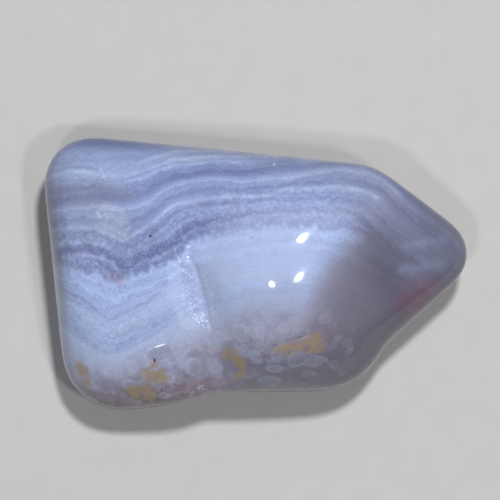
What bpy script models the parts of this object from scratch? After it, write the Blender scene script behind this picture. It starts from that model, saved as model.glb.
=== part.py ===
# Tumbled pebble of banded blue chalcedony, one solid stone.
#
# The rough stone broke along a few faces, and tumbling then wore every corner round. So each lobe
# here is the skin stretched over its worn corners, which are balls. Three lobes run into each other:
# a slab that leans down to the left, a dome in the middle and a nose at the right. Slab and dome
# meet in a sharp crease that ends in a notch at the front, dome and nose in a soft trough.
#
# +X runs towards the nose, +Y towards the long straight back side, and the stone rests on z = 0.

import bmesh
import bpy
from mathutils import Matrix, Vector
from mathutils.geometry import intersect_point_line

MM = 0.001

# Driving dimensions, in metres
LENGTH = 28.0 * MM        # over all, along X
DOME_TOP = 11.8 * MM      # highest point of the stone
SLAB_TOP = 10.0 * MM      # slab, where it is highest, beside the dome
NOSE_TOP = 10.0 * MM      # nose, where it leaves the dome
REST_WEAR = 0.12 * MM     # how much of the underside is worn off flat where the stone rests

# How fine the surface is
GRAIN = 0.25 * MM         # voxel that the three lobes are fused with
BALL_ROUNDS = 4           # subdivisions of the icosphere that stands for a worn corner
POLISH = 0.5              # how far one smoothing pass moves a point towards its neighbours
POLISH_ROUNDS = 28        # passes over all that the tumbling grit could reach
CREASE_ROUNDS = 8         # passes over the crease, which it could not
CREASE_REACH = 1.2 * MM   # how far to each side of the crease the surface stayed sharp
KEPT_FACES = 0.18         # share of the fused skin's faces that is kept

# The crease between slab and dome, seen from above, from its upper end to the notch. In millimetres.
CREASE_PATH = ((-4.3, 0.9), (-3.4, -1.2), (-3.1, -3.4), (-2.0, -4.4), (-2.4, -7.7))

# Worn corners of each lobe, by name: x and y of the ball's middle, its radius, and for an upper
# corner how far its crown lies below the lobe's top, for a lower corner how high its foot stands.
# All in millimetres.
SLAB_UPPER = {
    "left back": (-10.95, 6.0, 3.1, 2.1),
    "left front": (-8.9, -5.15, 4.0, 2.1),
    "front": (-5.2, -5.25, 3.35, 1.2),
    "front right": (-2.7, -4.95, 2.6, 1.8),
    "crease front": (-4.3, -3.4, 2.7, 0.4),
    "crease middle": (-4.8, -0.5, 2.7, 0.1),
    "back middle": (-1.0, 4.75, 3.2, 0.0),
    "back right": (6.0, 4.05, 3.3, 0.1),
}
SLAB_LOWER = {
    "left back": (-10.6, 5.5, 3.0, 1.2),
    "left front": (-8.5, -4.8, 3.7, 0.6),
    "front": (-4.9, -4.7, 3.3, 0.4),
    "back right": (5.0, 3.4, 3.4, 0.3),
    "rest left": (-7.5, 0.5, 4.5, 0.0),
    "rest back": (-2.0, 2.6, 4.0, 0.0),
    "rest front": (-2.0, -1.8, 4.0, 0.0),
}
DOME_UPPER = {
    "crest back": (4.4, 3.0, 4.0, 0.5),
    "crest middle": (2.6, 0.4, 4.0, 0.2),
    "crest front": (1.2, -2.6, 4.0, 0.9),
    "crease back": (-2.8, 1.2, 3.0, 1.6),
    "crease front": (-0.7, -3.0, 3.0, 1.9),
    "notch": (-1.5, -4.8, 3.1, 3.4),
    "front right": (4.1, -3.1, 4.75, 2.6),
    "foot right": (6.2, 0.0, 3.0, 2.6),
    "back middle": (-1.0, 4.7, 3.2, 1.8),
    "back right": (6.0, 4.0, 3.3, 1.8),
}
DOME_LOWER = {
    "rest right": (4.0, 0.6, 4.0, 0.0),
    "rest left": (-1.0, 0.0, 4.0, 0.0),
    "front right": (3.8, -2.7, 4.4, 0.9),
    "notch": (-1.2, -3.4, 3.6, 0.6),
    "back": (5.0, 3.4, 3.4, 0.3),
}
NOSE_UPPER = {
    "back": (6.5, 4.05, 3.3, 0.0),
    "tip": (11.6, 1.3, 2.5, 2.4),
    "front": (4.6, -2.5, 4.35, 1.4),
}
NOSE_LOWER = {
    "back": (6.0, 3.6, 3.3, 0.6),
    "tip": (11.2, 1.3, 2.3, 2.6),
    "front": (4.6, -2.4, 4.2, 0.9),
    "rest": (5.5, 0.6, 4.0, 0.0),
}

# Broad swells that keep the upper faces from being flat, by name: x and y of the middle, half
# width, half height, and how far the crown lies below the lobe's top. All in millimetres.
SLAB_SWELLS = {
    "upper face": (-8.3, 0.6, 4.6, 1.6, 0.95),
    "back face": (-4.0, 3.4, 4.2, 1.6, 0.2),
}
DOME_SWELLS = {
    "upper face": (1.6, 0.2, 4.6, 2.6, 0.0),
    "left face": (-0.4, 1.8, 3.4, 2.0, 0.75),
    "front face": (1.4, -2.6, 4.6, 4.0, 1.0),
}


def new_collection(name):
    collection = bpy.data.collections.new(name)
    bpy.context.scene.collection.children.link(collection)
    return collection


def new_object(name, mesh, collection):
    obj = bpy.data.objects.new(name, mesh)
    collection.objects.link(obj)
    return obj


def lobe(name, top, upper, lower, swells, collection):
    """The skin stretched over a lobe's worn corners and swells, as a closed convex mesh."""
    bm = bmesh.new()
    for x, y, radius, drop in upper.values():
        add_ball(bm, x, y, top / MM - drop - radius, radius, radius)
    for x, y, radius, lift in lower.values():
        add_ball(bm, x, y, lift + radius, radius, radius)
    for x, y, half_width, half_height, drop in swells.values():
        add_ball(bm, x, y, top / MM - drop - half_height, half_width, half_height)
    bmesh.ops.delete(bm, geom=bm.edges[:], context="EDGES_FACES")
    bmesh.ops.convex_hull(bm, input=bm.verts)
    inside = [v for v in bm.verts if not v.link_faces]
    bmesh.ops.delete(bm, geom=inside, context="VERTS")
    mesh = bpy.data.meshes.new(name)
    bm.to_mesh(mesh)
    bm.free()
    guide = new_object(name, mesh, collection)
    guide.hide_render = True
    guide.display_type = "WIRE"
    return guide


def add_ball(bm, x, y, z, half_width, half_height):
    """Adds a ball, or a flattened one, given in millimetres."""
    place = Matrix.Translation((x * MM, y * MM, z * MM))
    shape = Matrix.Diagonal((half_width * MM, half_width * MM, half_height * MM, 1))
    bmesh.ops.create_icosphere(bm, subdivisions=BALL_ROUNDS, radius=1, matrix=place @ shape)


def apply_modifiers(obj):
    """Gives the object the mesh that its modifiers make of it."""
    depsgraph = bpy.context.evaluated_depsgraph_get()
    mesh = bpy.data.meshes.new_from_object(obj.evaluated_get(depsgraph))
    obj.modifiers.clear()
    obj.data = mesh


def fuse(stone, guides):
    for guide in guides:
        join = stone.modifiers.new("join " + guide.name, "BOOLEAN")
        join.operation = "UNION"
        join.object = guide
    skin = stone.modifiers.new("skin", "REMESH")
    skin.mode = "VOXEL"
    skin.voxel_size = GRAIN
    apply_modifiers(stone)


def polish(stone):
    bm = bmesh.new()
    bm.from_mesh(stone.data)
    path = [Vector((x * MM, y * MM)) for x, y in CREASE_PATH]
    reached = [v for v in bm.verts if distance_to(path, v.co.xy) > CREASE_REACH]
    for _ in range(CREASE_ROUNDS):
        smooth(bm, bm.verts)
    for _ in range(POLISH_ROUNDS):
        smooth(bm, reached)
    bm.to_mesh(stone.data)
    bm.free()
    thin = stone.modifiers.new("thin", "DECIMATE")
    thin.ratio = KEPT_FACES
    apply_modifiers(stone)


def distance_to(path, point):
    distances = []
    for start, end in zip(path, path[1:]):
        nearest, share = intersect_point_line(point, start, end)
        if share < 0:
            nearest = start
        elif share > 1:
            nearest = end
        distances.append((point - nearest.to_2d()).length)
    return min(distances)


def smooth(bm, verts):
    bmesh.ops.smooth_vert(bm, verts=verts, factor=POLISH, use_axis_x=True, use_axis_y=True,
                          use_axis_z=True)


def flatten_rest(bm):
    """Wears the underside off flat, and closes the stone there."""
    everything = bm.verts[:] + bm.edges[:] + bm.faces[:]
    cut = bmesh.ops.bisect_plane(bm, geom=everything, plane_co=(0, 0, REST_WEAR),
                                 plane_no=(0, 0, 1), clear_inner=True)
    rim = [e for e in cut["geom_cut"] if isinstance(e, bmesh.types.BMEdge)]
    bmesh.ops.contextual_create(bm, geom=rim)


def set_in_place(bm):
    """Brings the stone to its length, with its origin under the middle of its box."""
    low = Vector([min(v.co[axis] for v in bm.verts) for axis in range(3)])
    high = Vector([max(v.co[axis] for v in bm.verts) for axis in range(3)])
    middle = (low + high) / 2
    bmesh.ops.translate(bm, verts=bm.verts, vec=(-middle.x, -middle.y, -low.z))
    bmesh.ops.scale(bm, verts=bm.verts, vec=Vector((1, 1, 1)) * (LENGTH / (high.x - low.x)))


def stone_material():
    """Pale lavender-blue chalcedony, tumbled to a wet-looking polish."""
    material = bpy.data.materials.new("polished blue chalcedony")
    material.use_nodes = True
    shader = material.node_tree.nodes["Principled BSDF"]
    shader.inputs["Base Color"].default_value = (0.30, 0.35, 0.56, 1.0)
    shader.inputs["Roughness"].default_value = 0.12
    shader.inputs["Metallic"].default_value = 0.0
    return material


def main():
    for obj in list(bpy.data.objects):
        bpy.data.objects.remove(obj)
    guides = new_collection("lobes")
    stone_parts = new_collection("chalcedony")
    slab = lobe("slab", SLAB_TOP, SLAB_UPPER, SLAB_LOWER, SLAB_SWELLS, guides)
    dome = lobe("dome", DOME_TOP, DOME_UPPER, DOME_LOWER, DOME_SWELLS, guides)
    nose = lobe("nose", NOSE_TOP, NOSE_UPPER, NOSE_LOWER, {}, guides)

    stone = new_object("chalcedony_pebble", slab.data.copy(), stone_parts)
    fuse(stone, (dome, nose))
    polish(stone)
    bm = bmesh.new()
    bm.from_mesh(stone.data)
    flatten_rest(bm)
    set_in_place(bm)
    bm.to_mesh(stone.data)
    bm.free()
    stone.data.shade_smooth()
    stone.data.materials.append(stone_material())


main()
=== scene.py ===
# Tumbled blue lace chalcedony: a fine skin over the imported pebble, its lace bands and its small flaws.
# Places on the stone are in millimetres as seen from above, x to the right and y away from the viewer.
import math
import random
import bmesh
import bpy
import numpy as np
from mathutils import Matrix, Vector, noise
from mathutils.bvhtree import BVHTree


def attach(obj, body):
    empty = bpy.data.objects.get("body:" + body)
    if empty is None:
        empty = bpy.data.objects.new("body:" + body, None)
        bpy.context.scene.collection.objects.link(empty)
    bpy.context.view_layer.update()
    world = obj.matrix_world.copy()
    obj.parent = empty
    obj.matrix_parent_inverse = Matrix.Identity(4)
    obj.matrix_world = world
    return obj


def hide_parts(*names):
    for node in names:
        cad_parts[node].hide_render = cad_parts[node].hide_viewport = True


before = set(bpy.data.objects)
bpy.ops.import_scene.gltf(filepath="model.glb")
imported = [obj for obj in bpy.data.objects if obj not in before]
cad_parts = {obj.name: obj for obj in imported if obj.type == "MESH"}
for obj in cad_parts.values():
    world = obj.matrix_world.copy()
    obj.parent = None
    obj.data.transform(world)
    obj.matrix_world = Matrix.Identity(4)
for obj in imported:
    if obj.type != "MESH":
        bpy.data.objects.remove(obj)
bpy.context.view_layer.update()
mm = 0.001
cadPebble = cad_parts["chalcedony_pebble"]


def toLinear(hexColour):
    # sRGB hex, such as "#A9BCE6", to the linear colour that shaders use
    parts = [int(hexColour[i:i + 2], 16) / 255 for i in (1, 3, 5)]
    return [c / 12.92 if c <= 0.04045 else ((c + 0.055) / 1.055) ** 2.4 for c in parts] + [1.0]


def smoothStep(value, low, high):
    share = np.clip((value - low) / (high - low), 0, 1)
    return share * share * (3 - 2 * share)


# The skin of the stone
skin = {
    "weld": 0.001,           # mm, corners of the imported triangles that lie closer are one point
    "cageLevels": 1,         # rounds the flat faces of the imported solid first
    "spacing": 0.13,         # mm between neighbouring points
    "polishPasses": 50,
    "polish": 0.5,           # share of the way to its neighbours that a point moves in one pass
}


def finePebble(source, name):
    bm = bmesh.new()
    bm.from_mesh(source.data)
    bmesh.ops.remove_doubles(bm, verts=bm.verts, dist=skin["weld"] * mm)
    cage = bpy.data.meshes.new(name)
    bm.to_mesh(cage)
    bm.free()
    piece = bpy.data.objects.new(name, cage)
    bpy.context.scene.collection.objects.link(piece)
    rounding = piece.modifiers.new("rounding", "SUBSURF")
    rounding.levels = rounding.render_levels = skin["cageLevels"]
    remesh = piece.modifiers.new("fine skin", "REMESH")
    remesh.mode = "VOXEL"
    remesh.voxel_size = skin["spacing"] * mm
    depsgraph = bpy.context.evaluated_depsgraph_get()
    fine = bpy.data.meshes.new_from_object(piece.evaluated_get(depsgraph))
    piece.modifiers.clear()
    piece.data = fine
    bm = bmesh.new()
    bm.from_mesh(fine)
    for _ in range(skin["polishPasses"]):
        bmesh.ops.smooth_vert(bm, verts=bm.verts, factor=skin["polish"], use_axis_x=True,
                              use_axis_y=True, use_axis_z=True)
    bm.to_mesh(fine)
    bm.free()
    fine.shade_smooth()
    return piece


pebble = finePebble(cadPebble, "tumbled_chalcedony")
points = np.empty(len(pebble.data.vertices) * 3)
pebble.data.vertices.foreach_get("co", points)
points = points.reshape(-1, 3) / mm
normals = np.empty(len(points) * 3)
pebble.data.vertex_normals.foreach_get("vector", normals)
normals = normals.reshape(-1, 3)
x, y, z = points.T
print("skin:", len(points), "points,", sum(len(p.vertices) - 2 for p in pebble.data.polygons), "triangles")

# Lace bands: where each runs over the top of the stone, lowest first
bands = {
    "orb edge": ((-14, -4.6), (-12.5, -5.2), (-11.6, -5.8), (-10.9, -6.2), (-10.3, -5.8), (-9.5, -6.0),
                 (-8, -5.5), (-7.3, -5.0), (-6, -4.6), (-4.5, -4.2), (-2.5, -3.2), (-1, -2.6), (1, -2.2),
                 (3, -2.2), (5, -2.8), (8, -4.5), (14, -8)),
    "lower chevron": ((-14, -2.0), (-12.5, -3.0), (-11, -4.3), (-10.2, -5.0), (-8.6, -4.9), (-7, -4.1),
                      (-5.2, -2.9), (-3.5, -1.8), (0, -1.0), (4, -1.0), (8, -3), (14, -7)),
    "upper chevron": ((-14, -0.6), (-12.3, -1.2), (-11.3, -1.6), (-10.8, -2.0), (-10.1, -2.7),
                      (-9.8, -3.1), (-8.9, -2.7), (-8.2, -2.3), (-7, -1.8), (-6.5, -1.35), (-4, -0.3),
                      (0, 0.6), (4, 0.8), (8, -1.3), (14, -5)),
    "lace foot": ((-14, 0.7), (-12, 0.6), (-10.6, 0.35), (-9.8, -0.05), (-9, -0.3), (-8.5, 0.1),
                  (-7.3, 0.3), (-5.8, 0.65), (-5, 1.2), (-4.4, 2.1), (-3, 2.5), (-1, 2.75), (0.5, 3.1),
                  (2, 3.15), (4, 3.0), (6, 3.0), (8, 1.8), (14, -2)),
    "dark arc": ((-14, 1.3), (-12.5, 1.6), (-11.2, 1.75), (-10, 1.5), (-9.2, 1.0), (-8.7, 0.4),
                 (-8.2, 0.6), (-7.5, 1.0), (-6.5, 1.5), (-5.5, 1.8), (-4.5, 2.9), (-3.5, 3.4), (-2, 3.75),
                 (0, 4.1), (2, 4.2), (4, 4.2), (6, 4.0), (7.5, 3.0), (9, 1.5), (14, -1.5)),
    "thin line": ((-14, 2.2), (-12, 2.6), (-11, 2.75), (-10, 2.6), (-8.8, 1.9), (-8, 2.3), (-7, 2.8),
                  (-6, 3.6), (-5, 4.2), (-3, 4.5), (0, 4.8), (2, 5.0), (5, 5.1), (7, 4.7), (9, 2.8),
                  (14, -0.5)),
    "white wave": ((-14, 2.8), (-12, 3.0), (-11, 3.0), (-10.3, 2.9), (-9, 2.35), (-8.7, 2.2), (-8.2, 2.5),
                   (-7, 3.2), (-6.3, 3.7), (-5.8, 4.3), (-5.2, 4.65), (-4, 4.75), (-2, 5.05),
                   (-0.8, 5.1), (1, 5.25), (2, 5.6), (4, 5.7), (5, 5.8), (6, 5.7), (7, 5.55), (8, 5.0),
                   (9.5, 3.5), (14, 0.5)),
    "second white": ((-14, 4.0), (-12.5, 4.25), (-11, 4.35), (-9.5, 4.3), (-8.6, 4.25), (-7.8, 4.4),
                     (-7, 4.8), (-6, 5.5), (-5, 5.95), (-3, 6.15), (-1, 6.1), (1, 6.3), (3, 6.4),
                     (5, 6.8), (7, 6.8), (8.3, 6.2), (9.5, 5.0), (11, 3.5), (14, 1.2)),
    "dark band": ((-14, 4.6), (-12, 5.05), (-10, 5.2), (-8.7, 4.85), (-7.8, 5.1), (-7, 5.4), (-6, 6.1),
                  (-5, 6.35), (-3, 6.65), (-1, 6.65), (1, 6.9), (3, 7.05), (5, 7.25), (7, 7.2),
                  (8.6, 6.7), (11, 4.6), (14, 2)),
    "upper white": ((-14, 6.2), (-12, 6.5), (-10, 6.3), (-9, 6.4), (-8, 6.7), (-7, 7.1), (-6, 7.4),
                    (-5, 7.6), (-1, 7.7), (1, 7.75), (4, 7.9), (7, 7.8), (9, 7.0), (14, 2.8)),
    "back edge": ((-14, 8.3), (-12, 8.7), (-8, 8.9), (5, 8.9), (8, 8.4), (10, 7.4), (14, 4.6)),
}
# Single fine lines: their light or dark is mixed in over the bands. Half width in mm, strength, course.
lightLines = (
    (0.13, 0.50, ((-13.2, 1.75), (-12, 2.0), (-11, 2.1), (-10, 1.95), (-9.2, 1.5))),
    (0.10, 0.55, ((-12.6, 1.05), (-11, 1.3), (-10, 1.0), (-9.3, 0.6), (-8.9, 0.1))),
    (0.09, 0.40, ((-12.8, 0.75), (-11.5, 0.95), (-10.6, 0.75), (-10, 0.4))),
    (0.12, 0.45, ((-13.5, 2.85), (-12, 3.05), (-11, 3.0), (-10.3, 2.9), (-9, 2.35))),
    (0.15, 0.75, ((-8.7, 2.2), (-8.2, 2.5), (-7, 3.2), (-6.3, 3.7), (-5.8, 4.3), (-5.2, 4.65), (-4, 4.75),
                  (-2, 5.05), (-0.8, 5.1), (1, 5.25), (2, 5.6), (4, 5.7), (5, 5.8), (6, 5.7), (7, 5.5),
                  (8, 4.9))),
    (0.14, 0.40, ((-6.6, 2.5), (-5.6, 3.3), (-5.2, 3.8), (-4.5, 4.1), (-3, 4.2), (-1, 4.5), (1, 4.7))),
    (0.13, 0.35, ((-7.5, 1.7), (-6, 2.3), (-5.0, 3.2), (-4, 3.6), (-2, 3.9), (0, 4.3), (2, 4.5))),
    (0.16, 0.35, ((-13.5, 4.05), (-12, 4.3), (-10.5, 4.35), (-8.6, 4.25), (-7.8, 4.4), (-7, 4.8),
                  (-6, 5.5), (-5, 5.95), (-3, 6.15), (-1, 6.1), (1, 6.3), (3, 6.3))),
    (0.12, 0.85, ((-10.4, 6.55), (-8.5, 6.45), (-7.0, 7.03), (-5.35, 7.53), (-4, 7.66), (-0.7, 7.7),
                  (1.5, 7.65))),
    (0.10, 0.80, ((-7.8, 7.26), (-6.7, 7.7), (-5.35, 8.06), (-3.5, 8.1), (-1.5, 8.0))),
    (0.10, 0.50, ((-8.2, 6.1), (-6.9, 6.6), (-5.4, 7.15), (-3.6, 7.3), (-1.2, 7.35))),
    (0.12, 0.75, ((-13.8, 6.3), (-13.1, 6.6), (-12.3, 6.8), (-11.2, 6.7), (-10.2, 6.5))),
    (0.28, 0.50, ((3, 7.4), (5, 7.75), (7, 7.7), (8.6, 7.0), (9.8, 6.0))),
    (0.10, 0.45, ((1.5, 3.5), (2.6, 3.65), (4, 3.9), (5.5, 3.9), (6.4, 3.7))),
    (0.09, 0.40, ((-12.8, -1.7), (-11.6, -2.3), (-10.6, -3.3), (-10.2, -3.7))),
    (0.09, 0.40, ((-9.7, -3.7), (-8.3, -3.1), (-7, -2.2), (-5.6, -1.4))),
    (0.10, 0.40, ((-8.4, -5.2), (-7, -4.5), (-6.1, -3.75), (-5.2, -3.2))),
    (0.10, 0.35, ((-13.2, -3.3), (-12, -4.2), (-11.2, -4.9))),
    (0.22, 0.60, ((0, 6.2), (2, 6.35), (4, 6.65), (6, 6.8), (7.4, 6.6), (8.5, 6.0), (9.4, 5.2))),
    (0.35, 0.20, ((9.6, 1.8), (10.8, 2.05), (12.5, 2.3))),
    (0.35, 0.20, ((9.4, 0.2), (10.4, 0.4), (12.4, 0.7))),
    (0.10, 0.60, ((-6.8, 0.45), (-6.2, 0.75), (-5.7, 0.95))),
    (0.10, 0.50, ((-6.7, 1.0), (-6.1, 1.3), (-5.6, 1.55))),
)
darkLines = (
    (0.20, 0.80, ((-13.2, 1.35), (-12.3, 1.65), (-11.2, 1.8), (-10, 1.55), (-9.2, 1.05), (-8.6, 0.4))),
    (0.10, 0.45, ((-12.9, 0.95), (-11.5, 1.1), (-10.6, 0.95), (-9.8, 0.55), (-9.2, 0.0))),
    (0.09, 0.50, ((-12.8, 2.4), (-12, 2.6), (-11, 2.78), (-10, 2.62), (-9.2, 2.2), (-8.7, 1.9))),
    (0.18, 0.30, ((-8.4, 0.9), (-7.4, 1.4), (-6.4, 1.9), (-5.4, 2.5), (-4.6, 3.2), (-3.5, 3.7), (-2, 3.9))),
    (0.16, 0.45, ((-7.6, 2.1), (-6.5, 3.0), (-5.6, 3.8), (-4.6, 4.35), (-3, 4.55), (-1, 4.75), (1, 4.95))),
    (0.12, 0.50, ((-13.5, 4.7), (-12, 5.0), (-10.5, 5.1), (-8.7, 4.85))),
    (0.12, 0.45, ((-12.6, 5.5), (-11, 5.6), (-9.4, 5.3), (-8.6, 5.1))),
    (0.20, 0.55, ((-5.5, 6.3), (-4, 6.55), (-3, 6.7), (-1.5, 6.7), (-0.3, 6.75), (1, 6.95))),
    (0.09, 0.70, ((-13.1, 6.8), (-12.3, 7.05), (-11.2, 7.0), (-10.5, 6.8))),
    (0.12, 0.40, ((-7.8, 6.75), (-6.3, 7.35), (-5.0, 7.8), (-3, 7.9), (-0.5, 7.9))),
    (0.08, 0.55, ((3.6, 5.95), (4.7, 6.0), (6, 5.95), (7.2, 5.78), (7.9, 5.45))),
    (0.07, 0.50, ((2.6, 6.1), (3.4, 6.32), (5.5, 6.55), (7.6, 6.35), (8.6, 5.9))),
    (0.12, 0.70, ((-12.6, -1.1), (-11.3, -1.6), (-10.8, -2.0), (-10.1, -2.7))),
    (0.12, 0.60, ((-9.7, -3.1), (-8.9, -2.7), (-8.2, -2.3), (-7, -1.8), (-6.4, -1.3))),
    (0.10, 0.45, ((-12.6, -1.45), (-11.3, -1.95), (-10.6, -2.5))),
    (0.35, 0.40, ((-9.2, -4.8), (-8.2, -4.3), (-7, -3.5), (-6, -2.9), (-5.2, -2.4))),
    (0.30, 0.35, ((-12.9, -2.7), (-12, -3.4), (-11, -4.3), (-10.5, -4.8))),
)
lace = {
    "dip": 0.35,            # mm that the bands run back for each mm down the sides
    "sideFrom": 5.5,        # mm, height below which the sides begin
    "waveSize": 2.6,        # mm across one soft wave
    "waveHeight": 0.10,     # mm
    "begins": (-0.5, 0.1),  # mm above its foot, where the lace comes in
    "ends": (2.2, 3.2),     # mm above its foot, where it goes out again
    "nose": (4.8, 7.2),     # x, where it quiets down towards the nose
    "quiet": 0.85,          # and by how much
    "scallopSize": (1.1, 0.5),  # mm across one scallop of the lace, coarse and fine
    "scallopHeight": 0.15,  # mm, in the lace
    "calm": 0.2,            # share of the scallops that is left outside the lace
    "fraySize": 0.33,       # mm across one notch in an edge
    "fray": 0.07,           # mm, its depth
    "fringe": 1.5,          # mm, the longest of the threads that hang below the lace at the left
    "threadSize": 0.24,     # mm from thread to thread
    "threadsEnd": (-9.5, -5.5),  # x, where they go out
    "beyond": (1.5, 1.3),   # mm that count as one band below the first course and above the last
    "lines": 0.65,          # strength of the single lines, all together
}


def noiseField(size, seed, drawnOut=1):
    # soft noise between about -1 and 1, its size in mm, drawn out along y and z where that is asked for
    shift = Vector((seed * 7.3, seed * 3.1, seed * 5.7))
    squeezed = points / (size, size * drawnOut, size * drawnOut)
    return np.array([noise.noise(Vector(p) + shift) for p in squeezed])


def scallopField(size):
    # rounded bumps between about 0 and 1, as botryoidal growth leaves them
    near = np.array([noise.voronoi(Vector(p) / size)[0][0] for p in points])
    return 1 - np.clip(near, 0, 1) ** 1.5


def courseAt(course, where):
    # height of a band's course, its corners rounded over about half a millimetre
    courseX, courseY = np.array(course).T
    steps = np.arange(-17, 17, 0.05)
    weights = np.hanning(15)
    rounded = np.convolve(np.interp(steps, courseX, courseY), weights / weights.sum(), "same")
    return np.interp(where, steps, rounded)


deep = np.logaddexp(0, (lace["sideFrom"] - z) * 2) / 2       # how far down the side, blended softly
wave = noiseField(lace["waveSize"], 1)
ragged = noiseField(0.5, 2)
cloud = noiseField(1.6, 3)
fray = noiseField(lace["fraySize"], 4)
scallop = sum(scallopField(size) for size in lace["scallopSize"]) / 2
overFoot = y - courseAt(bands["lace foot"], x)
inLace = smoothStep(overFoot, *lace["begins"]) * (1 - smoothStep(overFoot, *lace["ends"]))
inLace = inLace * (1 - lace["quiet"] * smoothStep(x, *lace["nose"]))
# the threads stand close together along the foot, longer and shorter by clumps
fringe = np.clip(noiseField(lace["threadSize"], 6, 4) + 0.1, 0, 1) * np.exp(-((overFoot + 0.15) / 0.5) ** 2)
fringe = fringe * (1 - smoothStep(x, *lace["threadsEnd"])) * np.clip(0.7 + 0.9 * cloud, 0, 1.2)
height = y + lace["dip"] * deep + wave * lace["waveHeight"] + fray * lace["fray"] + fringe * lace["fringe"]
height = height - (scallop - 0.5) * lace["scallopHeight"] * (lace["calm"] + (1 - lace["calm"]) * inLace)

# Strata counts the bands: a whole number on each course, and shares between two of them
courses = [courseAt(course, x) for course in bands.values()]
strata = np.minimum((height - courses[0]) / lace["beyond"][0], 0)
for below, above in zip(courses, courses[1:]):
    strata += np.clip((height - below) / np.maximum(above - below, 0.1), 0, 1)
strata += np.maximum((height - courses[-1]) / lace["beyond"][1], 0)


def lineField(lines):
    # fine lines that fade at their ends and break here and there, none finer than the skin can carry
    broken = 0.7 + 0.6 * noiseField(0.7, 11) + 0.35 * ragged + 0.35 * fray
    total = np.zeros(len(x))
    for halfWidth, strength, course in lines:
        ends = smoothStep(x, course[0][0] - 0.5, course[0][0] + 0.3)
        ends = ends * (1 - smoothStep(x, course[-1][0] - 0.3, course[-1][0] + 0.5))
        offset = (height - courseAt(course, x)) / max(halfWidth, skin["spacing"] * 0.75)
        total = np.maximum(total, np.exp(-offset ** 2) * strength * ends)
    return total * np.clip(broken, 0, 1) * lace["lines"]


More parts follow.
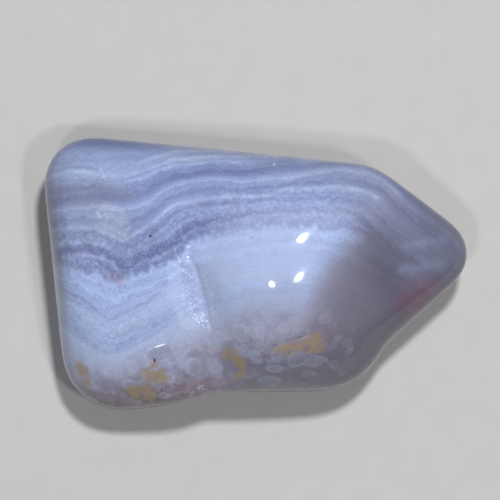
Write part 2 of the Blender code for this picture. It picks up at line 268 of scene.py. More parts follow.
# Spots: x and y of the middle, half width and half height in mm, turn in degrees, softness of the edge
# as a share of the half width, strength
marks = {
    "milk": ((-2.3, 0.2, 1.8, 2.2, -12, 1.0, 0.6), (0.2, 1.2, 4.3, 2.2, 8, 0.8, 0.75),
             (2.6, 0.6, 2.6, 3.0, 0, 0.9, 0.5), (2.5, 3.6, 4.5, 1.0, 3, 1.0, 0.5)),
    # greyer slopes of the dome, partly their own tone and partly painted shade
    "ashShade": ((6.1, -1.9, 2.5, 5.5, -27, 0.95, 0.75), (8.8, 3.6, 2.4, 3.4, 30, 1.4, 0.42),
            (3.4, -5.6, 3.6, 2.8, 0, 1.2, 0.38), (0.2, -5.1, 2.4, 1.0, 8, 1.4, 0.4),
            (3.0, -3.1, 3.4, 2.4, 0, 1.4, 0.28)),
    # the nose: a smoky grey tone, darkened further as painted shade
    "smokeShade": ((8.9, -3.7, 3.8, 6.6, -8, 1.3, 0.75), (13.0, 0.9, 2.4, 4.0, 15, 1.2, 0.72)),
    "slateShade": ((11.9, 0.6, 3.4, 4.2, 25, 1.0, 0.5),),
    # painted shade in the valley between the dome and the nose
    "troughShade": ((9.1, -0.7, 1.3, 3.0, 25, 1.8, 0.6),),
    # painted shade on the rims at the front, the left and the lower right
    "rimShade": ((4.1, -6.9, 5.6, 2.5, 4, 1.3, 0.52), (-14.3, 3.5, 1.4, 6.0, 6, 1.2, 0.5),
             (-4.2, -6.9, 1.9, 1.5, 0, 1.6, 0.35), (10.0, -4.1, 2.1, 6.0, -46, 1.3, 0.95)),
    # a brown tone along the front edge, darkened as painted shade
    "rustAndRimShade": ((-5.7, -9.6, 7.6, 2.3, -2, 1.1, 0.85),),
    # painted shade: a deeper blue along the back rims
    "deepBlueShade": ((2.0, 8.9, 8.5, 1.1, -4, 1.2, 0.9), (10.8, 5.3, 3.4, 0.8, -38, 1.2, 0.7),
                 (-8.4, 9.15, 5.4, 0.8, 0, 1.3, 0.75), (-6.2, 2.4, 3.2, 1.5, 36, 1.4, 0.15)),
    "veil": ((-12.2, 5.6, 3.8, 3.2, 0, 1.2, 0.4),),
    "violet": ((-11.2, 5.2, 3.0, 0.9, 0, 1.0, 0.6), (-10.5, 2.6, 3.4, 1.7, 0, 1.0, 0.25),
               (-9.3, -0.1, 0.9, 0.6, 0, 1.3, 0.4), (-11.4, 0.4, 1.8, 0.4, -6, 1.3, 0.3)),
    "rose": ((10.8, -1.6, 1.7, 1.3, 35, 1.4, 0.65), (11.5, -2.2, 2.8, 0.9, 42, 1.6, 0.42),
             (9.8, 5.9, 1.2, 0.3, -40, 1.0, 0.2)),
    "ochre": ((-11.4, -6.7, 0.45, 0.95, 12, 1.2, 0.85), (-6.68, -6.7, 0.85, 0.6, 0, 1.2, 0.9),
              (-6.6, -6.15, 0.3, 0.5, 0, 1.2, 0.7), (-7.5, -7.75, 1.0, 0.45, -8, 1.2, 0.9),
              (-7.0, -8.2, 0.42, 0.5, 20, 1.2, 0.8), (-1.75, -5.25, 0.6, 0.5, 0, 1.2, 0.8),
              (-1.1, -5.8, 0.38, 0.7, 25, 1.2, 0.9), (-1.15, -6.7, 0.65, 0.25, 48, 1.2, 0.9),
              (2.2, -4.85, 1.0, 0.38, 8, 1.2, 0.9), (3.85, -4.5, 0.8, 0.7, -20, 1.2, 0.92),
              (4.3, -8.35, 1.2, 0.18, 14, 1.2, 0.6)),
    "bruise": ((-9.5, 3.45, 1.45, 1.05, -35, 0.15, 0.8),),
    # the chip: sunk a little, and its hollow painted darker as shade
    "chip": ((-6.35, -5.22, 0.85, 0.46, 14, 0.2, 0.62),),
    # painted glints on crumbs at the lower edge
    "crumbGlints": ((-4.3, -7.7, 1.6, 0.4, 10, 1.2, 0.55),),
    "salmon": ((-6.65, -5.65, 0.28, 0.26, 0, 1.0, 0.8), (1.9, -4.6, 1.4, 0.12, 22, 1.4, 0.5),
               (-4.0, -7.6, 2.0, 0.65, 8, 1.6, 0.35), (-2.6, -7.4, 0.8, 0.8, 0, 1.6, 0.3),
               (-9.0, -0.5, 0.35, 0.25, -30, 1.4, 0.3), (-2.9, -5.0, 0.3, 0.2, 0, 1.4, 0.35),
               (-9.0, -8.3, 3.5, 0.35, -12, 1.4, 0.2)),
}


def topAt(where, whereY):
    # height of the stone's upper side over a place, or of the nearest point of it
    away = np.hypot(x - where, y - whereY)
    return z[away < max(0.3, away.min() + 0.1)].max()


def spotField(spots, throughout=False):
    # a mark lies in the surface and ends a little way down from it, or else goes right through the stone
    total = np.zeros(len(x))
    for middleX, middleY, halfWidth, halfHeight, turn, soft, strength in spots:
        angle = math.radians(turn)
        along = ((x - middleX) * math.cos(angle) + (y - middleY) * math.sin(angle)) / halfWidth
        across = ((y - middleY) * math.cos(angle) - (x - middleX) * math.sin(angle)) / halfHeight
        away = np.hypot(along, across)
        if not throughout:
            away = np.hypot(away, (z - topAt(middleX, middleY)) / (2 * max(halfWidth, halfHeight, 0.5)))
        total = np.maximum(total, (1 - smoothStep(away, 1 - soft / 2, 1 + soft / 2)) * strength)
    return total


# Marks sharper than the skin's points can carry: x and y of the middle, half width and half height in mm,
# turn in degrees, strength
crispMarks = {
    # the first two white flecks are a painted highlight along the chip's ledge, over a pale lip; the others
    # are white scratches and flecks
    "white": ((-6.3, -4.68, 0.38, 0.065, 18, 1.0), (-6.95, -4.9, 0.25, 0.04, 20, 0.35),
              (-10.3, 3.9, 0.3, 0.07, -55, 0.28), (-10.7, 4.5, 0.22, 0.05, -45, 0.2),
              (-5.3, 1.6, 0.3, 0.05, -74, 0.25), (-5.05, 1.0, 0.25, 0.06, -62, 0.28),
              (-10.2, 6.9, 0.3, 0.035, -82, 0.25), (-9.95, 6.35, 0.2, 0.06, -60, 0.25),
              (-4.4, 1.8, 0.12, 0.07, 20, 0.6), (1.2, 7.2, 0.07, 0.06, 0, 0.7)),
    "dark": ((-6.9, 2.5, 0.09, 0.08, 0, 1.0), (-6.65, -5.65, 0.08, 0.13, 0, 1.0),
             (-0.3, 2.4, 0.05, 0.05, 0, 0.6), (2.9, -4.08, 0.3, 0.035, 19, 0.8),
             (-2.7, -2.25, 0.05, 0.05, 0, 0.5)),
}
# Orbs, the round spherulites near the front: x, y, radius, width over height, light of rim and of heart
orbs = (
    (-9.75, -6.58, 0.3, 1.0, 0.3, 1.0), (-8.1, -6.1, 0.43, 1.0, 0.8, 0.2),
    (-5.57, -5.47, 0.5, 1.0, 0.8, 0.1), (-4.06, -6.1, 0.65, 1.0, 0.8, 0.2),
    (-4.9, -4.7, 0.75, 1.0, 0.7, 0.3), (-3.7, -6.76, 0.35, 1.3, 0.3, 0.4),
    (-5.64, -6.87, 0.4, 1.1, 0.8, 0.3), (-6.0, -8.1, 0.45, 1.1, 0.8, 0.3), (-9.9, -7.6, 0.3, 1.2, 0.4, 0.3),
    (-8.36, -7.3, 0.35, 1.2, 0.5, 0.1), (-8.7, -8.05, 0.35, 1.1, 0.4, 0.4),
    (0.89, -7.26, 0.75, 1.1, 0.5, 0.1), (2.75, -5.7, 0.65, 1.0, 0.6, 0.2),
    (3.68, -5.76, 0.5, 1.0, 0.5, 0.25), (1.42, -5.47, 0.43, 1.0, 0.7, 0.4),
    (0.17, -5.8, 0.3, 1.2, 0.5, 0.4), (1.24, -6.3, 0.4, 1.5, 0.7, 0.0), (3.53, -6.69, 0.4, 1.8, 0.3, 0.7),
    (-1.1, -3.8, 0.62, 1.0, 0.8, 0.1), (0.17, -3.75, 0.35, 1.0, 0.6, 0.2), (2.6, -3.2, 0.5, 1.1, 0.3, 0.5),
    (0.7, -2.75, 0.4, 1.0, 0.4, 0.4), (5.3, -6.0, 0.5, 1.2, 0.4, 0.2), (-11.9, -7.0, 0.35, 1.0, 0.3, 0.3),
    (-2.6, -6.2, 0.4, 1.0, 0.4, 0.2), (-2.38, -3.08, 0.65, 1.0, 0.35, 0.4),
    (1.4, -3.85, 0.5, 1.2, 0.5, 0.3), (-1.35, -2.7, 0.38, 1.0, 0.35, 0.2),
)
# The small orbs that lie crowded between those: each range is drawn from at random
strewn = {
    "count": 230,
    "across": (-11.5, 6.5),   # x
    "down": (-0.9, 3.6),      # mm below the orb edge
    "fadeIn": 1.4,            # mm over which they come in from the top of their zone
    "radius": (0.17, 0.45),   # mm
    "stretch": (0.9, 1.3),    # width over height
    "rim": (0.2, 0.6),
    "heart": (0.0, 0.6),
    "ring": 0.13,             # mm, half the width of the ring of every orb
    "wobble": (0.9, 0.22),    # mm, size and depth of the dents in its outline
}


def strewnOrbs():
    dice = random.Random(5)
    drawn = []
    for _ in range(strewn["count"]):
        middleX, down = dice.uniform(*strewn["across"]), dice.uniform(*strewn["down"])
        fade = min(max((down - strewn["down"][0]) / strewn["fadeIn"], 0.1), 1)
        middleY = float(courseAt(bands["orb edge"], middleX)) - down
        radius, stretch = dice.uniform(*strewn["radius"]), dice.uniform(*strewn["stretch"])
        rim, heart = dice.uniform(*strewn["rim"]) * fade, dice.uniform(*strewn["heart"]) * fade
        drawn.append((middleX, middleY, radius, stretch, rim, heart))
    return drawn


def orbField():
    size, dent = strewn["wobble"]
    bendX, bendY = dent * noiseField(size, 21), dent * noiseField(size, 22)
    total = np.zeros(len(x))
    for middleX, middleY, radius, stretch, rim, heart in strewnOrbs() + list(orbs):
        away = np.hypot((x + bendX - middleX) / stretch, y + bendY - middleY)
        away = np.hypot(away, 0.8 * (z - topAt(middleX, middleY))) / radius
        # a ring round a paler heart, with a gap round it where it lies over its neighbours
        ring = np.exp(-((away - 0.85) * max(radius, 0.25) / strewn["ring"]) ** 2) * rim
        disc = (1 - smoothStep(away, 0.5, 0.95)) * (0.35 * rim + 0.55 * heart)
        cover = 1 - smoothStep(away, 0.95, 1.2)
        total = total * (1 - cover) + np.maximum(ring, disc) * cover
    # cloudy, and fainter towards the right
    clear = 0.55 + 0.3 * cloud + 0.2 * ragged - 0.015 * (x + 4) - 0.05 * np.maximum(x - 2.5, 0)
    return total * np.clip(clear, 0, 1)


# The unpolished strip beside the crease: its left and right edge, each as y and x
frostEdges = {
    "left": ((-4.0, -3.4), (-3.2, -3.95), (-2.7, -4.3), (-2, -4.55), (-1, -4.85), (0, -4.95), (1.0, -5.05)),
    "right": ((-4.0, -2.9), (-3.3, -3.1), (-2.1, -3.31), (-0.65, -3.66), (0.5, -4.02), (1.2, -4.5)),
    "from": -3.6,           # y
    "to": 1.0,
    "ragged": 0.3,          # mm that its left edge wanders, finely
    "wander": 0.2,          # and broadly
    "worn": (1.3, 1.2),     # mm by which the dull finish is wider than the strip, mm over which it fades in
    "shadow": 0.35,         # strength of the shaded slope right of the strip
}


def frostLeft():
    return courseAt(frostEdges["left"], y) + frostEdges["ragged"] * ragged + frostEdges["wander"] * cloud


def frostField(wider, soft):
    left = frostLeft() - wider
    right = courseAt(frostEdges["right"], y)
    strip = smoothStep(x, left - 0.1, left - 0.1 + soft) * (1 - smoothStep(x, right - 0.02, right + 0.1))
    low, high = frostEdges["from"], frostEdges["to"]
    return strip * smoothStep(y, low - 0.2, low + 0.2) * (1 - smoothStep(y, high - 0.4, high + 0.2))


# Everything that differs from place to place, as one number per point of the skin
onTop = smoothStep(z, 2.5, 4.5)
roundTheSide = ("milk", "smokeShade", "troughShade", "rimShade", "ashShade", "slateShade", "rustAndRimShade", "deepBlueShade", "veil", "violet")
fields = {"strata": strata, "lace": inLace}
fields["lightLines"] = lineField(lightLines)
fields["darkLines"] = lineField(darkLines)
for name, spots in marks.items():
    fields[name] = spotField(spots, name in roundTheSide)
fields["milk"] *= onTop
# the stains are cloudy, with frayed borders
fields["rose"] *= np.clip(0.8 + 0.5 * cloud + 0.5 * ragged, 0, 1)
fields["bruise"] *= smoothStep(x, -11.0, -9.7) * np.clip(0.8 + 0.8 * fray, 0, 1)
fields["ochre"] = smoothStep(fields["ochre"] * (1.3 + 1.2 * ragged + 0.9 * fray), 0.1, 1.1) * 0.85
fields["orbs"] = orbField() * onTop
fields["orbZone"] = 1 - smoothStep(strata + 0.5 * cloud + 0.3 * ragged, -1.7, 0.3)
fields["frost"] = frostField(0.0, 0.35) * onTop
# painted glints: the strip sparkles most along its left border and towards its lower end
border = frostLeft() + 0.15
sparkle = 0.45 + 0.8 * np.exp(-((x - border) / 0.25) ** 2) + 0.5 * smoothStep(-y, 2.2, 3.2)
# and painted glints on a few crumbs at the lower edge of the stone
fields["sparkle"] = np.maximum(np.clip(sparkle, 0, 1) * fields["frost"], fields.pop("crumbGlints"))
# plain: no laminae show in the milky part, in the greyer parts that are partly painted shade, nor among the
# orbs
fields["plain"] = np.maximum.reduce([fields[name] for name in ("milk", "ashShade", "slateShade", "smokeShade")])
fields["plain"] = np.maximum(fields["plain"], 0.9 * (1 - smoothStep(strata, 0.1, 0.7)))
fields["worn"] = frostField(*frostEdges["worn"]) * onTop
beside = x - courseAt(frostEdges["right"], y)
alongStrip = smoothStep(y, -4.6, -3.4) * (1 - smoothStep(y, 0.2, 1.6))
slope = smoothStep(beside, 0, 0.15) * (1 - smoothStep(beside, 0.3, 1.9)) * alongStrip
fields["shadow"] = slope * onTop * frostEdges["shadow"]
# painted shade on the sides: how far each point's face turns away from the top
fields["side"] = 1 - smoothStep(normals[:, 2], 0.1, 0.7)

# Relief: the crease edge, the chipped ledge, the pits, the grain of the unpolished strip and the crest
crease = ((-4.3, 0.9), (-4.02, 0.5), (-3.66, -0.65), (-3.31, -2.12), (-3.1, -3.28))
relief = {
    "creaseDepth": 0.12,      # mm
    "creaseWidth": 0.16,      # mm, half its width
    "pitDepth": 0.08,
    "chipDepth": 0.06,
    "frostGrain": 0.02,       # mm, height of the strip's grains
    "grainSize": 0.16,        # mm from grain to grain
    "crown": 0.07,            # mm, height of a low swell on the dome's crest
    "crownAt": (3.0, 2.35),
    "crownSize": (1.3, 3.0),  # mm, half width and half height
    "crownTurn": 42,          # degrees
}


def nearCourse(course):
    # mm from each point to the nearest stretch of a course
    best = np.full(len(x), 1e9)
    for (startX, startY), (endX, endY) in zip(course, course[1:]):
        runX, runY = endX - startX, endY - startY
        share = np.clip(((x - startX) * runX + (y - startY) * runY) / (runX ** 2 + runY ** 2), 0, 1)
        best = np.minimum(best, np.hypot(x - startX - share * runX, y - startY - share * runY))
    return best


push = -relief["creaseDepth"] * np.exp(-(nearCourse(crease) / relief["creaseWidth"]) ** 2) * onTop
pits = tuple((*mark[:5], 0.7, mark[5]) for mark in crispMarks["dark"])
push -= relief["pitDepth"] * spotField(pits) * onTop + relief["chipDepth"] * fields["chip"]
turn = math.radians(relief["crownTurn"])
fromX, fromY = x - relief["crownAt"][0], y - relief["crownAt"][1]
overCrown = (fromX * math.cos(turn) + fromY * math.sin(turn)) / relief["crownSize"][0]
alongCrown = (fromY * math.cos(turn) - fromX * math.sin(turn)) / relief["crownSize"][1]
push += relief["crown"] * np.exp(-overCrown ** 2 - alongCrown ** 2) * onTop
push += relief["frostGrain"] * noiseField(relief["grainSize"], 5) * fields["frost"]
points += normals * push[:, None]
pebble.data.vertices.foreach_set("co", (points * mm).ravel())
for name, values in fields.items():
    pebble.data.attributes.new(name, "FLOAT", "POINT").data.foreach_set("value", values)
pebble.data.update()
print("bands and marks:", ", ".join(fields))


def addNode(tree, kind, inputs=None, **settings):
    node = tree.nodes.new("ShaderNode" + kind)
    for name, value in settings.items():
        setattr(node, name, value)
    for socket, value in (inputs or {}).items():
        if isinstance(value, bpy.types.NodeSocket):
            tree.links.new(value, node.inputs[socket])
        else:
            node.inputs[socket].default_value = value
    return node


# Bands of the stone by height: 0 is the orb edge, 3 the lace foot, 6 the white wave, 10 the back edge
bandColours = (
    (-1.6, "#8D8DA1"), (-0.8, "#9EA1B9"), (0.0, "#A6AECB"), (0.4, "#ACBAD9"), (1.1, "#A3B3D9"),
    (1.7, "#AABBDF"), (2.1, "#A4B5DE"), (2.92, "#A8BCE5"), (3.05, "#94A2CB"), (3.45, "#828DBA"),
    (3.65, "#96A4CD"), (3.8, "#8692BD"), (3.97, "#717AA4"), (4.2, "#8491BC"), (4.45, "#9BABD4"),
    (4.9, "#8D9AC5"), (5.1, "#98A7D0"), (5.6, "#98A7D1"), (5.95, "#A1AFD7"), (6.1, "#95A4CE"),
    (6.35, "#8A97C1"), (6.8, "#92A0CA"), (7.05, "#97A7D1"), (7.5, "#8A98C5"), (8.0, "#7C8AB7"),
    # the stops from 9.8 on grow darker towards the back rim, partly as painted shade
    (8.25, "#8492BE"), (8.6, "#92A2CD"), (9.0, "#9CACD4"), (9.35, "#96A7D0"), (9.8, "#8695C1"),
    (10.5, "#7180AB"),
)
# Colours over the bands, in this order, each where the field of its name is
tints = {
    "milk": "#B2BFE2",        # the milky top of the dome
    "ashShade": "#827A8B",         # the greyer slope from the dome to the nose, its grey partly painted shade
    "veil": "#A1AECC",        # a haze over the back left corner
    "deepBlueShade": "#3F5494",    # painted shade on the back edge, deeper and bluer
    "rimShade": "#54515C",        # painted shade darkening the rims at the front and the left
    "violet": "#7F7F9C",
    "smokeShade": "#69636F",       # the smoky grey nose, partly its own tone and partly painted shade
    "slateShade": "#62697F",       # and its cooler tip, darkened by painted shade too
    "rustAndRimShade": "#61504D",        # the brown front edge, darkened further by painted shade
    # painted shade in the valley between the dome and the nose
    "troughShade": "#59576C",
    "rose": "#7A5A69",        # the pink patch by the nose, its colour deepened by painted shade
    "orbs": "#B9C3DC",
    "salmon": "#A98C9C",
    "ochre": "#9A8971",       # iron stains between the orbs
    "bruise": "#A6B1CC",      # a knocked, paler spot
    # painted shade in the chip's hollow below the ledge
    "chip": "#8F95B2",
    "shadow": "#8F90A5",      # the slope right of the unpolished strip
    "lightLines": "#C6D4F4",
    "darkLines": "#6C70A0",
    "frost": "#98A6CF",       # the unpolished strip
}
crispTints = {"white": "#F4F7FF", "dark": "#3A3442"}
cellTints = ((0.0, "#A2A8C4"), (0.28, "#9EA3BF"), (0.37, "#A9AFCB"), (0.48, "#9696AB"), (0.62, "#8E8DA1"))
# The fine patterns and the polish
finish = {
    "fibres": 1.5,             # fibre bundles per mm
    "grain": 8.0,              # fibres per mm, drawn coarser than the real 0.01 mm, which is too fine to show
    "clouds": 0.35,            # per mm
    "knots": 3.2,              # botryoidal knots per mm, inside the lace
    "laminae": 5.0,            # growth lines per band, the finest left out because they are too thin to show
    "orbCells": 0.9,           # spherulites per mm, in their zone
    "fibreReach": 0.7,         # how far the fibres bend the borders, as a share of one band
    "grainReach": (0.35, 0.9),   # the same for the grain, outside the lace and in it
    "knotReach": 0.45,
    "laminaeBend": 0.5,
    "orbBend": 0.9,            # mm
    "orbShare": 0.7,           # share of the bands that the spherulites hide in their zone
    "fibreLight": 0.05,        # light and dark that each pattern adds, as a share
    "grainLight": 0.14,
    "cloudLight": 0.05,
    "laminaeLight": 0.12,
    "knotLight": 0.12,
    "calm": 0.7,               # share of it that is taken away where the stone is plain
    "sideTint": (0.55, 0.62, 0.78, 1),   # painted shade: what the sides keep of red, green and blue
    "sideShare": 0.6,
    # painted glints of the broken grains
    "speck": "#D3DBF0",
    "speckRange": (1.03, 1.25),  # two noises added up: where a speck begins, and where it is full
    "polished": 0.09,          # roughness
    "unpolished": 0.6,
    "ior": 1.54,
    "leak": 0.35,              # weight of the light that leaks through
    "leakReach": (0.8, 0.9, 1.2),  # mm, for red, green and blue
}


def fillRamp(node, stops):
    elements = node.color_ramp.elements
    while len(elements) < len(stops):
        elements.new(1.0)
    for element, (position, colour) in zip(elements, stops):
        element.position = position
        element.color = toLinear(colour)


def chalcedonyTumblePolished():
    # chalcedony, a fibrous quartz, worn smooth in a tumbler: a wet gloss over a milky, light-leaking body
    material = bpy.data.materials.new("chalcedony, tumble polished")
    material.use_nodes = True
    tree = material.node_tree
    shader = tree.nodes["Principled BSDF"]
    place = addNode(tree, "TexCoord").outputs["Object"]
    field = {name: addNode(tree, "Attribute", attribute_name=name).outputs["Fac"] for name in fields}
    fibres = addNode(tree, "TexNoise", {"Vector": place, "Scale": finish["fibres"] / mm, "Detail": 4.0})
    grain = addNode(tree, "TexNoise", {"Vector": place, "Scale": finish["grain"] / mm, "Detail": 2.0})
    clouds = addNode(tree, "TexNoise", {"Vector": place, "Scale": finish["clouds"] / mm, "Detail": 2.0})
    knots = addNode(tree, "TexVoronoi", {"Vector": place, "Scale": finish["knots"] / mm},
                    feature="SMOOTH_F1")
    outside, inside = finish["grainReach"]
    loose = addNode(tree, "MapRange", {"Value": field["lace"], "To Min": outside, "To Max": inside})
    knotted = addNode(tree, "Math", {0: field["lace"], 1: finish["knotReach"]}, operation="MULTIPLY")
    warped = field["strata"]
    # each pattern is centred on its mean, so that it bends the borders without moving them
    for source, mean, reach in ((fibres.outputs["Fac"], 0.5, finish["fibreReach"]),
                                (grain.outputs["Fac"], 0.5, loose.outputs[0]),
                                (knots.outputs["Distance"], 0.33, knotted.outputs[0])):
        centred = addNode(tree, "Math", {0: source, 1: mean}, operation="SUBTRACT")
        warped = addNode(tree, "Math", {0: centred.outputs[0], 1: reach, 2: warped},
                         operation="MULTIPLY_ADD").outputs[0]
    # laminae: growth lines of 0.05 to 0.2 mm inside the bands
    softly = addNode(tree, "Math", {0: fibres.outputs["Fac"], 1: finish["laminaeBend"], 2: field["strata"]},
                     operation="MULTIPLY_ADD")
    laminae = addNode(tree, "TexNoise", {"W": softly.outputs[0], "Scale": finish["laminae"], "Detail": 3.0,
                                         "Roughness": 0.7}, noise_dimensions="1D")
    low, high = bandColours[0][0], bandColours[-1][0]
    share = addNode(tree, "MapRange", {"Value": warped, "From Min": low, "From Max": high})
    ramp = addNode(tree, "ValToRGB", {"Fac": share.outputs[0]})
    fillRamp(ramp, [((level - low) / (high - low), colour) for level, colour in bandColours])
    # spherulites: radiating balls of about a millimetre, which crowd the front of the stone
    bend = (finish["orbBend"] * mm,) * 3
    bent = addNode(tree, "VectorMath", {0: fibres.outputs["Color"], 1: bend, 2: place},
                   operation="MULTIPLY_ADD")
    cells = addNode(tree, "TexVoronoi", {"Vector": bent.outputs[0], "Scale": finish["orbCells"] / mm})
    cellRings = addNode(tree, "ValToRGB", {"Fac": cells.outputs["Distance"]})
    fillRamp(cellRings, cellTints)
    inZone = addNode(tree, "Math", {0: field["orbZone"], 1: finish["orbShare"]}, operation="MULTIPLY")
    colour = addNode(tree, "Mix", {0: inZone.outputs[0], 6: ramp.outputs["Color"],
                                   7: cellRings.outputs["Color"]}, data_type="RGBA").outputs[2]
    for name, tint in tints.items():
        colour = addNode(tree, "Mix", {0: field[name], 6: colour, 7: toLinear(tint)},
                         data_type="RGBA").outputs[2]
    even = colour
    for source, strength in ((laminae, finish["laminaeLight"]), (fibres, finish["fibreLight"]),
                             (clouds, finish["cloudLight"]), (grain, finish["grainLight"])):
        light = addNode(tree, "MapRange", {"Value": source.outputs["Fac"], "From Min": 0.25, "From Max": 0.75,
                                           "To Min": 1 - strength, "To Max": 1 + strength})
        colour = addNode(tree, "VectorMath", {0: colour, "Scale": light.outputs[0]},
                         operation="SCALE").outputs[0]
    # botryoidal knots inside the lace, paler at their hearts
    hearts = addNode(tree, "MapRange", {"Value": knots.outputs["Distance"], "From Min": 0.1, "From Max": 0.6,
                                        "To Min": finish["knotLight"], "To Max": -finish["knotLight"]})
    gain = addNode(tree, "Math", {0: hearts.outputs[0], 1: field["lace"], 2: 1.0}, operation="MULTIPLY_ADD")
    colour = addNode(tree, "VectorMath", {0: colour, "Scale": gain.outputs[0]}, operation="SCALE").outputs[0]
    calmer = addNode(tree, "Math", {0: field["plain"], 1: finish["calm"]}, operation="MULTIPLY")
    colour = addNode(tree, "Mix", {0: calmer.outputs[0], 6: colour, 7: even}, data_type="RGBA").outputs[2]
    # painted shade: the more a face turns to the side, the darker and bluer its colour is painted
    paintedSideShade = addNode(tree, "Math", {0: field["side"], 1: finish["sideShare"]}, operation="MULTIPLY")
    colour = addNode(tree, "Mix", {0: paintedSideShade.outputs[0], 6: colour, 7: finish["sideTint"]},
                     data_type="RGBA", blend_type="MULTIPLY").outputs[2]
    # specks: broken grains in the unpolished strip, painted near white as glints where they catch the light
    clumps = addNode(tree, "Math", {0: grain.outputs["Fac"], 1: fibres.outputs["Fac"]}, operation="ADD")
    begin, full = finish["speckRange"]
    specks = addNode(tree, "MapRange", {"Value": clumps.outputs[0], "From Min": begin, "From Max": full})
    bright = addNode(tree, "Math", {0: specks.outputs[0], 1: field["sparkle"]}, operation="MULTIPLY")
    colour = addNode(tree, "Mix", {0: bright.outputs[0], 6: colour, 7: toLinear(finish["speck"])},
                     data_type="RGBA").outputs[2]
    # flecks: each is an upright ellipsoid that is high enough to meet the top and ends above the underside
    for name, flecks in crispMarks.items():
        for middleX, middleY, halfWidth, halfHeight, turn, strength in flecks:
            local = addNode(tree, "Mapping", {"Vector": place,
                                              "Location": (middleX * mm, middleY * mm, 8.5 * mm),
                                              "Rotation": (0, 0, math.radians(turn)),
                                              "Scale": (halfWidth * mm, halfHeight * mm, 6 * mm)},
                            vector_type="TEXTURE")
            away = addNode(tree, "VectorMath", {0: local.outputs[0]}, operation="LENGTH")
            share = addNode(tree, "MapRange", {"Value": away.outputs["Value"], "From Min": 0.6,
                                               "From Max": 1.3, "To Min": strength, "To Max": 0.0})
            colour = addNode(tree, "Mix", {0: share.outputs[0], 6: colour, 7: toLinear(crispTints[name])},
                             data_type="RGBA").outputs[2]
    tree.links.new(colour, shader.inputs["Base Color"])
    rough = addNode(tree, "MapRange", {"Value": field["worn"], "To Min": finish["polished"],
                                       "To Max": finish["unpolished"]})
    tree.links.new(rough.outputs[0], shader.inputs["Roughness"])
    shader.inputs["IOR"].default_value = finish["ior"]
    shader.inputs["Subsurface Weight"].default_value = finish["leak"]
    shader.inputs["Subsurface Radius"].default_value = finish["leakReach"]
    shader.inputs["Subsurface Scale"].default_value = mm
    return material


pebble.data.materials.clear()
pebble.data.materials.append(chalcedonyTumblePolished())
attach(pebble, "root")
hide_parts("chalcedony_pebble")
print("material:", len(pebble.data.materials[0].node_tree.nodes), "nodes")


# The ground that the stone lies on
card = {
    "size": 600.0,           # mm from the middle to an edge
    "fibres": 0.6,           # per mm
    "tints": ("#BDBCBA", "#C5C4C2"),
    "roughness": 0.9,
}


def cardUncoated():
    # matt card: a soft pale ground with no gloss
    material = bpy.data.materials.new("card, uncoated")
    material.use_nodes = True
    tree = material.node_tree
    shader = tree.nodes["Principled BSDF"]
    place = addNode(tree, "TexCoord").outputs["Object"]
    fibres = addNode(tree, "TexNoise", {"Vector": place, "Scale": card["fibres"] / mm, "Detail": 4.0})
    ramp = addNode(tree, "ValToRGB", {"Fac": fibres.outputs["Fac"]})
    ramp.color_ramp.elements[0].color = toLinear(card["tints"][0])
    ramp.color_ramp.elements[1].color = toLinear(card["tints"][1])
    tree.links.new(ramp.outputs["Color"], shader.inputs["Base Color"])
    shader.inputs["Roughness"].default_value = card["roughness"]
    return material


bm = bmesh.new()
bmesh.ops.create_grid(bm, x_segments=1, y_segments=1, size=card["size"] * mm)
floorMesh = bpy.data.meshes.new("floor")
bm.to_mesh(floorMesh)
bm.free()
floor = bpy.data.objects.new("floor", floorMesh)
bpy.context.scene.collection.objects.link(floor)
floorMesh.materials.append(cardUncoated())

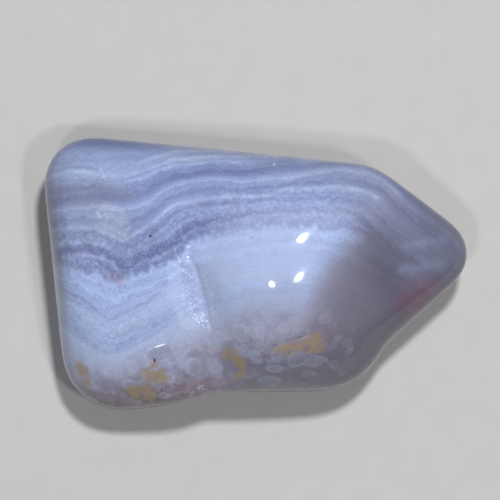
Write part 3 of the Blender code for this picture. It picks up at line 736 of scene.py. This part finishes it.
# The camera looks straight down
shot = {
    "field": 33.02,           # mm across the picture, at the widest part of the stone
    "middle": (-0.396, 1.583),  # mm, the point under the picture's middle
    "height": 400.0,          # mm above the widest part
    "widest": 5.0,            # mm, height of the widest part
    "sensor": 36.0,           # mm
    "nearest": 10.0,          # mm, what lies closer to the camera isn't seen
}
cameraData = bpy.data.cameras.new("camera")
cameraData.sensor_width = shot["sensor"]
cameraData.lens = shot["sensor"] * shot["height"] / shot["field"]
cameraData.clip_start = shot["nearest"] * mm
camera = bpy.data.objects.new("camera", cameraData)
camera.location = Vector((*shot["middle"], shot["widest"] + shot["height"])) * mm
bpy.context.scene.collection.objects.link(camera)
bpy.context.scene.camera = camera

# Three small lamps near the camera, each placed so that its reflection falls on a chosen point of the dome
lamps = {
    "distance": 350.0,       # mm from the stone
    "across": 32.0,          # mm
    "watts": (0.90, 0.24, 0.20),
    "glints": ((3.0, 2.35), (2.75, -0.2), (1.0, -0.65)),   # x and y of each
    "feelers": 8,            # rays round a glint that find out which way the stone faces there
    "feelerRing": 0.25,      # mm
    "room": (0.10, 0.10, 0.11, 1),   # dim light from all round
}
tree = BVHTree.FromObject(pebble, bpy.context.evaluated_depsgraph_get())
for number, (glintX, glintY) in enumerate(lamps["glints"]):
    total = Vector()
    for feeler in range(lamps["feelers"]):
        turn = feeler * 2 * math.pi / lamps["feelers"]
        aside = lamps["feelerRing"] * Vector((math.cos(turn), math.sin(turn)))
        start = Vector((glintX + aside.x, glintY + aside.y, 30)) * mm
        hit, normal, _, _ = tree.ray_cast(start, Vector((0, 0, -1)))
        total += normal
    normal = total.normalized()
    toCamera = (camera.location - hit).normalized()
    toLamp = 2 * normal.dot(toCamera) * normal - toCamera
    tilt, bearing = toLamp.angle(Vector((0, 0, 1))), math.atan2(toLamp.y, toLamp.x)
    print("lamp", number, "is", round(math.degrees(tilt), 1), "degrees off the top,",
          round(math.degrees(bearing)), "round")
    lampData = bpy.data.lights.new("lamp", "AREA")
    lampData.shape = "DISK"
    lampData.size = lamps["across"] * mm
    lampData.energy = lamps["watts"][number]
    lamp = bpy.data.objects.new("lamp", lampData)
    lamp.location = hit + toLamp * lamps["distance"] * mm
    lamp.rotation_mode = "QUATERNION"
    lamp.rotation_quaternion = toLamp.to_track_quat("Z", "Y")
    bpy.context.scene.collection.objects.link(lamp)

world = bpy.data.worlds.new("studio")
world.use_nodes = True
world.node_tree.nodes["Background"].inputs["Color"].default_value = lamps["room"]
bpy.context.scene.world = world
bpy.context.scene.view_settings.view_transform = "Standard"
print("stage, camera and lamps are set")
